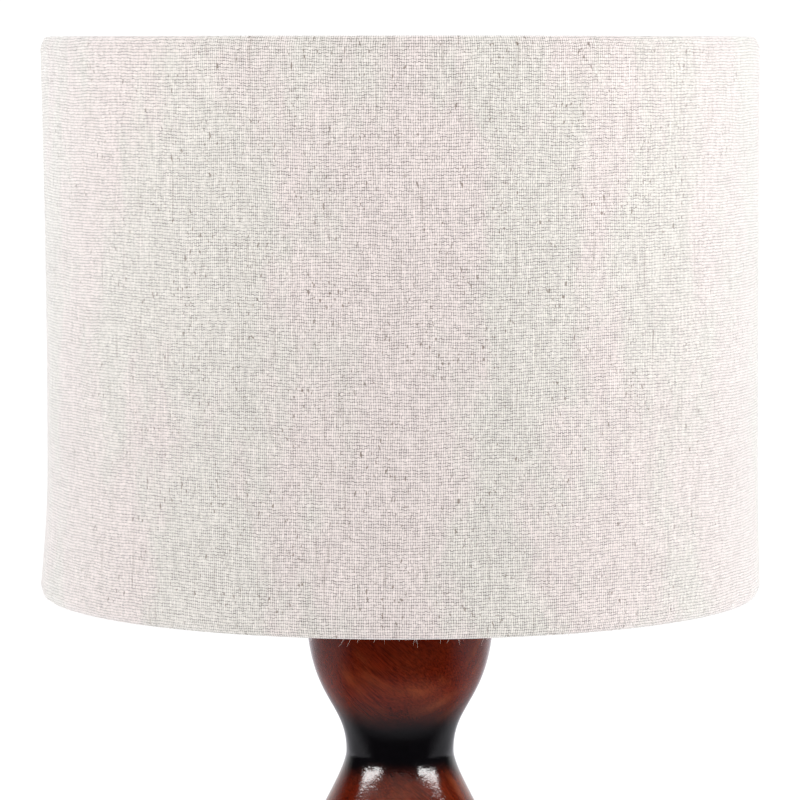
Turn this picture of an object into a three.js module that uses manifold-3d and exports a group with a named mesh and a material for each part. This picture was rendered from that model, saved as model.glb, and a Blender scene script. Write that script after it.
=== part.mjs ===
// A table lamp: a turned wooden base, a rotary-switch lampholder, an LED bulb and a fabric drum shade.
// Millimetres, +Z up. The origin is the centre of the base on the table, and -Y is the lamp's front.
import * as THREE from "three";
import { mergeVertices } from "three/addons/utils/BufferGeometryUtils.js";
import Module from "manifold-3d";

const wasm = await Module();
wasm.setup();

// ---- clearances ----
const gap = 0.3; // between pieces that touch
const boreClearance = 0.4; // round a rod or screw in its hole
const turnClearance = 0.5; // round a piece that turns

// ---- segments round a turned piece ----
const shadeSegments = 36; // a multiple of 12, so that each arm meets a corner of the lower ring
const woodSegments = 36;
const smallSegments = 24;
const screwSegments = 12;

// ---- foot ----
const feltThickness = 1.7;
const feltInset = 2;
const footRadius = 62;
const footHeight = 30;
const footRimHeight = 13;
const footRimRound = 1.5;
const footStep = 4.5;
const footNeckRadius = 36;
const recessRadius = 20;
const recessDepth = 12;
const cordHoleRadius = 3.3;
const glandWall = 1.3;
const glandFlangeRadius = 6;
const glandFlangeThickness = 2;
const glandLength = 14;

// ---- turned body, from its lower end up: each rise is counted from the place before ----
const beadRadius = 4.5;
const beadCentreRadius = 31;
const lowerWaistRadius = 27;
const lowerWaistRise = 12.7;
const bellyRadius = 54;
const bellyRise = 86;
const waistRadius = 23.1;
const waistRise = 84.3;
const headRadius = 40.3;
const headRise = 63.7;
const collarRadius = 22;
const shoulderRise = 28;
const collarRise = 9;
const collarRound = 2;

// ---- threaded rod and its fasteners ----
const rodRadius = 5;
const rodHoleRadius = 3.5;
const rodEndBelowNut = 2.4;
const nutThickness = 3;
const nutAcrossFlats = 14;
const washerRadius = 11;
const washerThickness = 1.5;
const vaseCapRadius = 19;
const vaseCapThickness = 3.5;

// ---- lampholder ----
const neckWall = 2.4;
const neckHeight = 6;
const bowlHeight = 11;
const sheetMetal = 1;
const lockScrewRadius = 1.5;
const bulbCapRadius = 13.1;
const capClearance = 0.4;
const screwShellWall = 0.7;
const screwShellHeight = 24;
const insulatorWall = 3.1;
const insulatorFloor = 17;
const insulatorBelowShell = 4;
const shellWall = 1.8;
const shellHeight = 41.5;
const flangeRise = 11.5;
const flangeThickness = 2;
const flangeReach = 4;
const terminalScrewRadius = 1.5;
const terminalHeadRadius = 2.7;
const terminalHeadThickness = 2;
const terminalScrewLength = 5;
const terminalSpacing = 9;
const tongueLength = 12;
const tongueWidth = 5;
const tongueThickness = 0.6;
const tongueRise = 2.4;

// ---- rotary switch ----
const knobDrop = 8.5; // knob axis below the flange
const stemRadius = 2.2;
const stemInnerEnd = 6.3;
const stemInKnob = 7;
const knobRadius = 6;
const knobLength = 13;
const knobRound = 1;
const knobStandOff = 7;

// ---- shade carrier ----
const fitterThickness = 2;
const fitterReach = 4.6;
const ringNutReach = 4.7;
const ringNutHeight = 6.4;
const fitterRise = 70.5; // carrier ring's underside above the shade's lower edge
const armFlatReach = 36;
const armCount = 3;
const armFirstAngle = Math.PI / 2;
const wireRadius = 1.9;

// ---- shade ----
const shadeHeight = 237;
const shadeBottomRadius = 154;
const shadeTopRadius = 152.3;
const shadePullIn = 2; // how far the wall is drawn in between the rings
const pullInPlace = 0.23; // share of the height at which it is drawn in most
const fabricThickness = 0.6;
const linerThickness = 0.7;
const hemDepth = 12;
const hemSlitWidth = 7;
const hemSlitDepth = 8;

// ---- bulb ----
const tipRadius = 3.5;
const tipThickness = 1.5;
const capInsulatorHeight = 4;
const capInsulatorRadius = 5;
const bulbCapHeight = 21;
const bulbNeckHeight = 35.6;
const bulbNeckTopRadius = 26.6;
const globeRadius = 30;
// The globe's mouth is as wide as the neck's top.
const globeHeight = globeRadius + Math.sqrt(globeRadius ** 2 - bulbNeckTopRadius ** 2);
const globeWall = 1;

// ---- heights that follow ----
const footBottom = feltThickness + gap;
const footTop = footBottom + footHeight;
const recessTop = footBottom + recessDepth;
const cordAxis = footBottom + footRimHeight / 2 + 0.5;
const boreRadius = rodRadius + boreClearance;

const bodyBottom = footTop + gap;
const lowerWaistZ = bodyBottom + 2 * beadRadius + lowerWaistRise;
const bellyZ = lowerWaistZ + bellyRise;
const waistZ = bellyZ + waistRise;
const headZ = waistZ + headRise;
const shoulderZ = headZ + shoulderRise;
const bodyTop = shoulderZ + collarRise;

const vaseCapBottom = bodyTop + gap;
const lockNutBottom = vaseCapBottom + vaseCapThickness + gap;
const neckBottom = lockNutBottom + nutThickness + gap;
const bowlBottom = neckBottom + neckHeight;
const bowlTop = bowlBottom + bowlHeight;
const shellBottom = bowlTop + gap;
const shellTop = shellBottom + shellHeight;
const flangeTop = shellBottom + flangeRise + flangeThickness;
const insulatorBottom = shellBottom - insulatorBelowShell;
const socketFloor = insulatorBottom + insulatorFloor;
const insulatorTop = shellTop - flangeThickness;
const tongueBottom = socketFloor + gap;

const screwShellInner = bulbCapRadius + capClearance;
const screwShellOuter = screwShellInner + screwShellWall;
const socketRadius = screwShellOuter + gap;
const insulatorRadius = socketRadius + insulatorWall;
const shellInner = insulatorRadius + gap;
const shellRadius = shellInner + shellWall;
const knobAxis = flangeTop - knobDrop;

const fitterBottom = flangeTop + gap;
const fitterTop = fitterBottom + fitterThickness;
const fitterInner = shellRadius + turnClearance + gap;
const fitterOuter = fitterInner + fitterReach;
const ringNutBottom = fitterTop + gap;

const shadeBottom = fitterBottom - fitterRise;
const shadeTop = shadeBottom + shadeHeight;
const hemRadius = wireRadius + gap + fabricThickness / 2; // fabric's middle round a ring
const wireInset = fabricThickness + linerThickness + wireRadius + 2 * gap;
const lowerRingZ = shadeBottom + fabricThickness + gap + wireRadius;
const upperRingZ = shadeTop - fabricThickness - gap - wireRadius;
const lowerRingRadius = shadeBottomRadius - wireInset;
const upperRingRadius = shadeTopRadius - wireInset;

const tipBottom = tongueBottom + tongueRise + tongueThickness + gap;
const capInsulatorBottom = tipBottom + tipThickness + gap;
const bulbCapBottom = capInsulatorBottom + capInsulatorHeight + gap;
const bulbNeckBottom = bulbCapBottom + bulbCapHeight + gap;
const globeBottom = bulbNeckBottom + bulbNeckHeight + gap;

// ---- geometry helpers ----

// Turns a closed (radius, height) outline round +Z.
function turned(outline, segments) {
  const points = outline.filter((point, i) => i === 0 || point.distanceTo(outline[i - 1]) > 1e-6);
  const onAxis = points[0].x < 1e-9 && points[points.length - 1].x < 1e-9;
  if (!onAxis && points[0].distanceTo(points[points.length - 1]) > 1e-6) {
    points.push(points[0].clone());
  }
  if (THREE.ShapeUtils.area(points) < 0) {
    points.reverse();
  }
  return new THREE.LatheGeometry(points, segments).rotateX(Math.PI / 2);
}

// Turns an outline given as plain [radius, height] corners.
function turnedCorners(corners, segments) {
  return turned(corners.map(([radius, height]) => new THREE.Vector2(radius, height)), segments);
}

// A plain ring or tube of rectangular section; an inner radius of 0 makes a disc.
function turnedRing(innerRadius, outerRadius, bottom, top, segments) {
  const corners = [
    [innerRadius, bottom],
    [outerRadius, bottom],
    [outerRadius, top],
    [innerRadius, top],
  ];
  return turnedCorners(corners, segments);
}

// A ring of round wire.
function wireRing(ringRadius, height, radius, segments) {
  const circle = new THREE.Path();
  circle.absarc(ringRadius, height, radius, 0, 2 * Math.PI, false);
  return turned(circle.getPoints(4), segments);
}

// Six-sided nut with a round hole.
function hexNut(bottom, top, holeRadius) {
  const outline = new THREE.Shape();
  const cornerRadius = nutAcrossFlats / Math.sqrt(3);
  for (let i = 0; i < 6; i += 1) {
    const angle = (i * Math.PI) / 3;
    const x = cornerRadius * Math.cos(angle);
    const y = cornerRadius * Math.sin(angle);
    if (i === 0) {
      outline.moveTo(x, y);
    } else {
      outline.lineTo(x, y);
    }
  }
  outline.closePath();
  const hole = new THREE.Path();
  hole.absarc(0, 0, holeRadius, 0, 2 * Math.PI, true);
  outline.holes.push(hole);
  const nut = new THREE.ExtrudeGeometry(outline, {
    depth: top - bottom,
    bevelEnabled: false,
    curveSegments: 12,
  });
  return nut.translate(0, 0, bottom);
}

// Lays a piece that was turned round +Z along +X, at a given height.
function alongX(geometry, height) {
  return geometry.rotateY(Math.PI / 2).translate(0, 0, height);
}

// Lays a piece that was turned round +Z along +Y, at a given height.
function alongY(geometry, height) {
  return geometry.rotateX(-Math.PI / 2).translate(0, 0, height);
}

function asSolid(geometry) {
  const bare = geometry.clone();
  bare.deleteAttribute("normal");
  bare.deleteAttribute("uv");
  const merged = mergeVertices(bare, 1e-4);
  return new wasm.Manifold(
    new wasm.Mesh({
      numProp: 3,
      vertProperties: merged.attributes.position.array,
      triVerts: new Uint32Array(merged.index.array),
    }),
  );
}

function asGeometry(solid) {
  const mesh = solid.getMesh();
  const geometry = new THREE.BufferGeometry();
  geometry.setAttribute("position", new THREE.BufferAttribute(mesh.vertProperties, 3));
  geometry.setIndex(new THREE.BufferAttribute(mesh.triVerts, 1));
  geometry.computeVertexNormals();
  return geometry;
}

function cut(geometry, tools) {
  return asGeometry(tools.reduce((solid, tool) => solid.subtract(asSolid(tool)), asSolid(geometry)));
}

// Closed outline of a sheet of even thickness, from the line along its middle, with mitred corners.
function sheetOutline(middle, thickness) {
  const last = middle.length - 1;
  const offset = (side) =>
    middle.map((point, i) => {
      const from = Math.min(Math.max(i, 1), last);
      const to = Math.min(i + 1, last);
      const before = middle[from].clone().sub(middle[from - 1]).normalize();
      const after = middle[to].clone().sub(middle[to - 1]).normalize();
      const along = before.clone().add(after).normalize();
      const reach = (side * thickness) / 2 / along.dot(after);
      return new THREE.Vector2(along.y, -along.x).multiplyScalar(reach).add(point);
    });
  return [...offset(1), ...offset(-1).reverse()];
}

// ---- pieces ----
const lamp = new THREE.Group();

function addPiece(name, geometry, color, roughness, metalness) {
  const material = new THREE.MeshStandardMaterial({ color, roughness, metalness });
  const mesh = new THREE.Mesh(geometry, material);
  mesh.name = name;
  lamp.add(mesh);
}

// Foot: a felt pad under a turned plinth with a recess for the nut and a hole for the cord.
const feltRadius = footRadius - feltInset;
addPiece("felt_pad", turnedRing(0, feltRadius, 0, feltThickness, woodSegments), 0x2c3a30, 1, 0);

function footGeometry() {
  const rimTop = footBottom + footRimHeight;
  const stepRadius = footRadius - footStep;
  const outline = new THREE.Path();
  outline.moveTo(recessRadius, footBottom);
  outline.lineTo(footRadius - footRimRound, footBottom);
  outline.lineTo(footRadius, footBottom + footRimRound);
  outline.lineTo(footRadius, rimTop - footRimRound);
  outline.lineTo(footRadius - footRimRound, rimTop);
  outline.lineTo(stepRadius, rimTop);
  outline.bezierCurveTo(
    stepRadius - 4, rimTop + 11,
    footNeckRadius + 2, rimTop + 5,
    footNeckRadius, footTop - 1,
  );
  outline.lineTo(footNeckRadius - 1, footTop);
  outline.lineTo(boreRadius, footTop);
  outline.lineTo(boreRadius, recessTop);
  outline.lineTo(recessRadius, recessTop);
  const channelLength = footRadius;
  const channel = new THREE.CylinderGeometry(
    cordHoleRadius + glandWall + gap,
    cordHoleRadius + glandWall + gap,
    channelLength,
    smallSegments,
  );
  channel.translate(0, recessRadius / 2 + channelLength / 2, cordAxis);
  return cut(turned(outline.getPoints(5), woodSegments), [channel]);
}
addPiece("foot", footGeometry(), 0x5e1f10, 0.2, 0);

// Cord gland: a flanged sleeve in the back of the foot.
function glandGeometry() {
  const seat = footRadius + gap;
  const sleeveRadius = cordHoleRadius + glandWall;
  const corners = [
    [cordHoleRadius, seat - glandLength],
    [sleeveRadius, seat - glandLength],
    [sleeveRadius, seat],
    [glandFlangeRadius, seat],
    [glandFlangeRadius, seat + glandFlangeThickness],
    [cordHoleRadius, seat + glandFlangeThickness],
  ];
  return alongY(turnedCorners(corners, smallSegments), cordAxis);
}
addPiece("cord_gland", glandGeometry(), 0x1c1a19, 0.5, 0);

// Rod with the fasteners at its lower end.
const washerTop = recessTop - gap;
const bottomNutTop = washerTop - washerThickness - gap;
const bottomNutBottom = bottomNutTop - nutThickness;
const rodBottom = bottomNutBottom - rodEndBelowNut;
const rodTop = bowlBottom + sheetMetal;
const washer = turnedRing(boreRadius, washerRadius, washerTop - washerThickness, washerTop, smallSegments);
const rod = turnedRing(rodHoleRadius, rodRadius, rodBottom, rodTop, smallSegments);
addPiece("threaded_rod", rod, 0xb7b2a6, 0.4, 1);
addPiece("bottom_washer", washer, 0xb7b2a6, 0.4, 1);
addPiece("bottom_nut", hexNut(bottomNutBottom, bottomNutTop, boreRadius), 0xb7b2a6, 0.4, 1);

// Turned body: bead, lower waist, belly, waist, head and collar.
function bodyGeometry() {
  const beadTop = bodyBottom + 2 * beadRadius;
  const outline = new THREE.Path();
  outline.moveTo(boreRadius, bodyBottom);
  outline.lineTo(beadCentreRadius, bodyBottom);
  outline.absarc(beadCentreRadius, bodyBottom + beadRadius, beadRadius, -Math.PI / 2, Math.PI / 2, false);
  outline.bezierCurveTo(
    lowerWaistRadius + 1, beadTop + 2,
    lowerWaistRadius, lowerWaistZ - 6,
    lowerWaistRadius, lowerWaistZ,
  );
  outline.bezierCurveTo(lowerWaistRadius, lowerWaistZ + 26, bellyRadius, bellyZ - 44, bellyRadius, bellyZ);
  outline.bezierCurveTo(bellyRadius, bellyZ + 33, waistRadius, waistZ - 13, waistRadius, waistZ);
  outline.bezierCurveTo(waistRadius, waistZ + 22, headRadius, headZ - 42, headRadius, headZ);
  outline.bezierCurveTo(headRadius, headZ + 17, collarRadius, shoulderZ - 10, collarRadius, shoulderZ);
  outline.lineTo(collarRadius, bodyTop - collarRound);
  outline.lineTo(collarRadius - collarRound, bodyTop);
  outline.lineTo(boreRadius, bodyTop);
  return turned(outline.getPoints(5), woodSegments);
}
addPiece("turned_body", bodyGeometry(), 0x5e1f10, 0.2, 0);

// Brass cap and lock nut on top of the body.
function vaseCapGeometry() {
  const corners = [
    [boreRadius, vaseCapBottom],
    [vaseCapRadius, vaseCapBottom],
    [vaseCapRadius, vaseCapBottom + 0.4 * vaseCapThickness],
    [0.7 * vaseCapRadius, vaseCapBottom + 0.9 * vaseCapThickness],
    [0.5 * vaseCapRadius, vaseCapBottom + vaseCapThickness],
    [boreRadius, vaseCapBottom + vaseCapThickness],
  ];
  return turnedCorners(corners, smallSegments);
}
addPiece("vase_cap", vaseCapGeometry(), 0xb08a45, 0.3, 1);
addPiece("lock_nut", hexNut(lockNutBottom, lockNutBottom + nutThickness, boreRadius), 0xb08a45, 0.35, 1);

// Holder cap: a neck on the rod that opens into a bowl, with a grub screw against turning.
const neckRadius = boreRadius + neckWall;
const lockScrewHeight = neckBottom + neckHeight / 2;

function holderCapGeometry() {
  const corner = 0.6 * bowlHeight;
  const bowl = new THREE.Path();
  bowl.moveTo(boreRadius, neckBottom);
  bowl.lineTo(neckRadius, neckBottom);
  bowl.lineTo(neckRadius, bowlBottom);
  bowl.lineTo(shellRadius - corner, bowlBottom);
  bowl.absarc(shellRadius - corner, bowlBottom + corner, corner, -Math.PI / 2, 0, false);
  bowl.lineTo(shellRadius, bowlTop);
  bowl.lineTo(shellRadius - sheetMetal, bowlTop);
  bowl.absarc(shellRadius - corner, bowlBottom + corner, corner - sheetMetal, 0, -Math.PI / 2, true);
  bowl.lineTo(boreRadius, bowlBottom + sheetMetal);
  const holeRadius = lockScrewRadius + gap;
  const hole = new THREE.CylinderGeometry(holeRadius, holeRadius, 2 * neckWall + boreRadius, screwSegments);
  hole.translate(0, boreRadius + neckWall, lockScrewHeight);
  return cut(turned(bowl.getPoints(2), smallSegments), [hole]);
}
addPiece("holder_cap", holderCapGeometry(), 0xb08a45, 0.3, 1);

const lockScrew = turnedRing(0, lockScrewRadius, rodRadius + gap, neckRadius + sheetMetal, screwSegments);
addPiece("cap_lock_screw", alongY(lockScrew, lockScrewHeight), 0x8d8a84, 0.4, 1);

// Insulating body: the switch block below, the bulb's socket above.
const stemHoleRadius = stemRadius + turnClearance;

function terminalScrew(x) {
  const headTop = insulatorBottom - gap;
  const corners = [
    [0, headTop - terminalHeadThickness],
    [terminalHeadRadius, headTop - terminalHeadThickness],
    [terminalHeadRadius, headTop],
    [terminalScrewRadius, headTop],
    [terminalScrewRadius, headTop + terminalScrewLength],
    [0, headTop + terminalScrewLength],
  ];
  return turnedCorners(corners, screwSegments).translate(x, 0, 0);
}

function holderBodyGeometry() {
  const corners = [
    [0, insulatorBottom],
    [insulatorRadius, insulatorBottom],
    [insulatorRadius, insulatorTop],
    [socketRadius, insulatorTop],
    [socketRadius, socketFloor],
    [0, socketFloor],
  ];
  const tools = [-terminalSpacing, terminalSpacing].map((x) => {
    const radius = terminalScrewRadius + gap;
    const top = insulatorBottom + terminalScrewLength;
    return turnedRing(0, radius, insulatorBottom - 1, top, screwSegments).translate(x, 0, 0);
  });
  const stemHole = turnedRing(0, stemHoleRadius, stemInnerEnd - gap, insulatorRadius + 1, screwSegments);
  tools.push(alongX(stemHole, knobAxis));
  return cut(turnedCorners(corners, smallSegments), tools);
}
addPiece("holder_body", holderBodyGeometry(), 0xe9e4d8, 0.35, 0);
addPiece("terminal_screw_left", terminalScrew(-terminalSpacing), 0xb08a45, 0.35, 1);
addPiece("terminal_screw_right", terminalScrew(terminalSpacing), 0xb7b2a6, 0.35, 1);

// Centre contact: a bent tongue on the socket's floor.
function tongueGeometry() {
  const half = tongueLength / 2;
  const middle = [
    new THREE.Vector2(-half, tongueBottom + tongueThickness / 2),
    new THREE.Vector2(-half / 3, tongueBottom + tongueThickness / 2),
    new THREE.Vector2(half / 3, tongueBottom + tongueRise),
    new THREE.Vector2(half, tongueBottom + tongueRise),
  ];
  const outline = new THREE.Shape(sheetOutline(middle, tongueThickness));
  const tongue = new THREE.ExtrudeGeometry(outline, { depth: tongueWidth, bevelEnabled: false });
  return tongue.rotateX(Math.PI / 2).translate(0, tongueWidth / 2, 0);
}
addPiece("centre_contact", tongueGeometry(), 0xc79a4a, 0.3, 1);

function screwShellGeometry() {
  const lipRadius = tongueLength / 2 + 2;
  const corners = [
    [lipRadius, tongueBottom],
    [screwShellOuter, tongueBottom],
    [screwShellOuter, tongueBottom + screwShellHeight],
    [screwShellInner, tongueBottom + screwShellHeight],
    [screwShellInner, tongueBottom + screwShellWall],
    [lipRadius, tongueBottom + screwShellWall],
  ];
  return turnedCorners(corners, smallSegments);
}
addPiece("screw_shell", screwShellGeometry(), 0xc79a4a, 0.3, 1);

// Outer shell: carries the flange that the shade's ring sits on and the thread above it.
function holderShellGeometry() {
  const flangeRadius = shellRadius + flangeReach;
  const corners = [
    [shellInner, shellBottom],
    [shellRadius, shellBottom],
    [shellRadius, flangeTop - flangeThickness],
    [flangeRadius, flangeTop - flangeThickness],
    [flangeRadius, flangeTop],
    [shellRadius, flangeTop],
    [shellRadius, shellTop],
    [shellInner, shellTop],
  ];
  const hole = turnedRing(0, stemHoleRadius, 0, shellRadius + flangeReach, screwSegments);
  return cut(turnedCorners(corners, smallSegments), [alongX(hole, knobAxis)]);
}
addPiece("holder_shell", holderShellGeometry(), 0xb08a45, 0.3, 1);

// Rotary switch: a stem through the shell with a knob on its end.
const knobInnerEnd = shellRadius + knobStandOff;
const stemOuterEnd = knobInnerEnd + stemInKnob;
const stem = turnedRing(0, stemRadius, stemInnerEnd, stemOuterEnd, screwSegments);
addPiece("switch_stem", alongX(stem, knobAxis), 0xb08a45, 0.3, 1);

function knobGeometry() {
  const knobOuterEnd = knobInnerEnd + knobLength;
  const corners = [
    [0, knobInnerEnd],
    [knobRadius - knobRound, knobInnerEnd],
    [knobRadius, knobInnerEnd + knobRound],
    [knobRadius, knobOuterEnd - knobRound],
    [knobRadius - knobRound, knobOuterEnd],
    [0, knobOuterEnd],
  ];
  const hole = turnedRing(0, stemRadius + gap, knobInnerEnd - 1, stemOuterEnd + gap, screwSegments);
  return alongX(cut(turnedCorners(corners, smallSegments), [hole]), knobAxis);
}
addPiece("switch_knob", knobGeometry(), 0x1b1715, 0.35, 0);

// Shade carrier: a flat ring on the holder's flange, a ring nut above it, and arms down to the lower ring.
const fitter = turnedRing(fitterInner, fitterOuter, fitterBottom, fitterTop, smallSegments);
addPiece("fitter_ring", fitter, 0xe8e6e0, 0.4, 0.2);

function ringNutGeometry() {
  const innerRadius = shellRadius + turnClearance;
  const outerRadius = innerRadius + ringNutReach;
  const top = ringNutBottom + ringNutHeight;
  const corners = [
    [innerRadius, ringNutBottom],
    [outerRadius, ringNutBottom],
    [outerRadius, top - 1],
    [outerRadius - 1, top],
    [innerRadius, top],
  ];
  return turnedCorners(corners, smallSegments);
}
addPiece("ring_nut", ringNutGeometry(), 0xb08a45, 0.3, 1);

// An arm runs level from the carrier ring, then slopes to the inside of the lower ring.
function armGeometry() {
  const level = fitterBottom + wireRadius;
  const start = new THREE.Vector3(fitterOuter + gap, 0, level);
  const bend = new THREE.Vector3(fitterOuter + armFlatReach, 0, level);
  const ringPoint = new THREE.Vector3(lowerRingRadius, 0, lowerRingZ);
  const down = ringPoint.clone().sub(bend).normalize();
  const end = ringPoint.clone().addScaledVector(down, -(wireRadius + gap));
  const bendReach = 8;
  const route = new THREE.CurvePath();
  const bendStart = bend.clone().add(new THREE.Vector3(-bendReach, 0, 0));
  const bendEnd = bend.clone().addScaledVector(down, bendReach);
  route.add(new THREE.LineCurve3(start, bendStart));
  route.add(new THREE.QuadraticBezierCurve3(bendStart, bend, bendEnd));
  route.add(new THREE.LineCurve3(bendEnd, end));
  const section = new THREE.Shape();
  section.absarc(0, 0, wireRadius, 0, 2 * Math.PI, false);
  return new THREE.ExtrudeGeometry(section, {
    steps: 16,
    curveSegments: 4,
    bevelEnabled: false,
    extrudePath: route,
  });
}

const armAngles = Array.from({ length: armCount }, (_, i) => armFirstAngle + (i * 2 * Math.PI) / armCount);
armAngles.forEach((angle, i) => {
  addPiece(`fitter_arm_${i + 1}`, armGeometry().rotateZ(angle), 0xe8e6e0, 0.4, 0.2);
});

addPiece("lower_ring", wireRing(lowerRingRadius, lowerRingZ, wireRadius, shadeSegments), 0xe8e6e0, 0.4, 0.2);
addPiece("upper_ring", wireRing(upperRingRadius, upperRingZ, wireRadius, shadeSegments), 0xe8e6e0, 0.4, 0.2);

// How far the wall stands inside the straight line between its rings, at a share of the height.
function pullIn(share) {
  const nearBottom = Math.sin((Math.PI / 2) * Math.min(share / pullInPlace, 1));
  const nearTop = Math.cos((Math.PI / 2) * Math.max((share - pullInPlace) / (1 - pullInPlace), 0));
  return shadePullIn * nearBottom * nearTop;
}

// Points up the wall at a depth below its outer surface, from one height share to another.
function wallPoints(depth, fromShare, toShare, count) {
  return Array.from({ length: count + 1 }, (_, i) => {
    const share = fromShare + ((toShare - fromShare) * i) / count;
    const radius = THREE.MathUtils.lerp(shadeBottomRadius, shadeTopRadius, share) - pullIn(share) - depth;
    return new THREE.Vector2(radius, shadeBottom + share * shadeHeight);
  });
}

// Points round a ring at the fabric's distance from it, far enough out that the straight steps clear it.
function hemArc(ringRadius, height, fromAngle, toAngle) {
  const steps = 4;
  const step = (toAngle - fromAngle) / steps;
  const reach = hemRadius / Math.cos(step / 2);
  return Array.from({ length: steps + 1 }, (_, i) => {
    const angle = fromAngle + i * step;
    return new THREE.Vector2(ringRadius + reach * Math.cos(angle), height + reach * Math.sin(angle));
  });
}

const wallSteps = 6;
const wallShare = (2 * wireRadius + fabricThickness + 2 * gap) / shadeHeight; // where the wall clears a ring

function linerGeometry() {
  const depth = fabricThickness + gap + linerThickness / 2;
  const middle = wallPoints(depth, wallShare, 1 - wallShare, wallSteps);
  return turned(sheetOutline(middle, linerThickness), shadeSegments);
}
addPiece("shade_liner", linerGeometry(), 0xf1eee6, 0.6, 0);

// The fabric covers the wall, rolls round both rings and is glued to the liner's inside,
// with a slit in its lower hem for each arm.
function fabricGeometry() {
  const hemDepthInWall = fabricThickness + 2 * gap + linerThickness + fabricThickness / 2;
  const hemShare = hemDepth / shadeHeight;
  const clearShare = wallShare + wireRadius / shadeHeight;
  const rollStart = 0.16 * Math.PI;
  const rollEnd = -1.33 * Math.PI;
  const middle = [
    ...wallPoints(hemDepthInWall, hemShare, clearShare, 1),
    ...hemArc(lowerRingRadius, lowerRingZ, rollEnd, -rollStart),
    ...wallPoints(fabricThickness / 2, wallShare, 1 - wallShare, wallSteps),
    ...hemArc(upperRingRadius, upperRingZ, rollStart, -rollEnd),
    ...wallPoints(hemDepthInWall, 1 - clearShare, 1 - hemShare, 1),
  ];
  const slits = armAngles.map((angle) => {
    const slitBottom = lowerRingZ - wireRadius / 2;
    const slitOuter = lowerRingRadius + wireRadius;
    const slit = new THREE.BoxGeometry(hemSlitDepth, hemSlitWidth, hemDepth);
    slit.translate(slitOuter - hemSlitDepth / 2, 0, slitBottom + hemDepth / 2);
    return slit.rotateZ(angle);
  });
  return cut(turned(sheetOutline(middle, fabricThickness), shadeSegments), slits);
}
addPiece("fabric_cover", fabricGeometry(), 0xd9d2cc, 0.9, 0);

// Bulb: contact tip, black insulator, screw cap, neck and globe.
const bulbTip = turnedRing(0, tipRadius, tipBottom, tipBottom + tipThickness, screwSegments);
addPiece("bulb_tip", bulbTip, 0xb7b2a6, 0.3, 1);

const capInsulator = [
  [0, capInsulatorBottom],
  [capInsulatorRadius, capInsulatorBottom],
  [bulbCapRadius - 2.5, capInsulatorBottom + capInsulatorHeight],
  [0, capInsulatorBottom + capInsulatorHeight],
];
addPiece("bulb_insulator", turnedCorners(capInsulator, smallSegments), 0x151515, 0.3, 0);

const bulbCap = [
  [0, bulbCapBottom],
  [bulbCapRadius - 2, bulbCapBottom],
  [bulbCapRadius, bulbCapBottom + 2],
  [bulbCapRadius, bulbCapBottom + bulbCapHeight],
  [0, bulbCapBottom + bulbCapHeight],
];
addPiece("bulb_screw_cap", turnedCorners(bulbCap, smallSegments), 0xc9c6bf, 0.3, 1);

function bulbNeckGeometry() {
  const top = bulbNeckBottom + bulbNeckHeight;
  const outline = new THREE.Path();
  outline.moveTo(0, bulbNeckBottom);
  outline.lineTo(bulbCapRadius + 0.5, bulbNeckBottom);
  outline.bezierCurveTo(
    bulbCapRadius + 2, bulbNeckBottom + bulbNeckHeight / 2,
    bulbNeckTopRadius - 5, top - bulbNeckHeight / 3,
    bulbNeckTopRadius, top,
  );
  outline.lineTo(0, top);
  return turned(outline.getPoints(4), smallSegments);
}
addPiece("bulb_neck", bulbNeckGeometry(), 0xf3f2ee, 0.4, 0);

// The globe is an opal shell, open where it meets the neck.
function globeGeometry() {
  const top = globeBottom + globeHeight;
  const centre = top - globeRadius;
  const mouthAngle = -Math.asin((centre - globeBottom) / globeRadius);
  const innerRadius = globeRadius - globeWall;
  const innerMouthAngle = -Math.asin((centre - globeBottom) / innerRadius);
  const outline = new THREE.Path();
  outline.absarc(0, centre, globeRadius, mouthAngle, Math.PI / 2, false);
  outline.absarc(0, centre, innerRadius, Math.PI / 2, innerMouthAngle, true);
  return turned(outline.getPoints(4), smallSegments);
}
addPiece("bulb_globe", globeGeometry(), 0xf7f5ef, 0.25, 0);

export default lamp;
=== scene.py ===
import math
import random

import bmesh
import bpy
from mathutils import Matrix, Vector
from mathutils.geometry import interpolate_bezier


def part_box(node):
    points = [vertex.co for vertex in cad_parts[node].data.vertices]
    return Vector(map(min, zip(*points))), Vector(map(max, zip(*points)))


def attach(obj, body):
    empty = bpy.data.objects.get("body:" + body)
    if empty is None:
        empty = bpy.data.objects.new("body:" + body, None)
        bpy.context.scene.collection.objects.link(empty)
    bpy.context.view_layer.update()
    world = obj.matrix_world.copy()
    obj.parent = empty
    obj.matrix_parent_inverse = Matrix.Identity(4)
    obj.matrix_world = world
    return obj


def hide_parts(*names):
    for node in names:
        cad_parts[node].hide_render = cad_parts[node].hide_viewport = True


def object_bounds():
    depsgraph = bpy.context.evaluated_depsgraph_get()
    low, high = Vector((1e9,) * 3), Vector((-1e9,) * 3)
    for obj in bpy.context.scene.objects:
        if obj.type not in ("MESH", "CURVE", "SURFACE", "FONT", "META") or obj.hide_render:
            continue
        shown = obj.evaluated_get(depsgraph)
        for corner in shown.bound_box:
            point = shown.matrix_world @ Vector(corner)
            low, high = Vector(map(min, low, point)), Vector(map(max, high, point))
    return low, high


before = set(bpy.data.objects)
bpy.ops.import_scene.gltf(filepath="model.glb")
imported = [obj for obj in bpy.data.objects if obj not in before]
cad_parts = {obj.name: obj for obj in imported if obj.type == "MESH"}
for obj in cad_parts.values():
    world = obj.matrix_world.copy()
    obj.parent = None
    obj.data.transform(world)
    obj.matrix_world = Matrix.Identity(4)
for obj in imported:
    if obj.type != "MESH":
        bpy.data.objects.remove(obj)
cadLow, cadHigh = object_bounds()
scene = bpy.context.scene
mm = 0.001
print("frame loaded:", len(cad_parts), "nodes")

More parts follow.
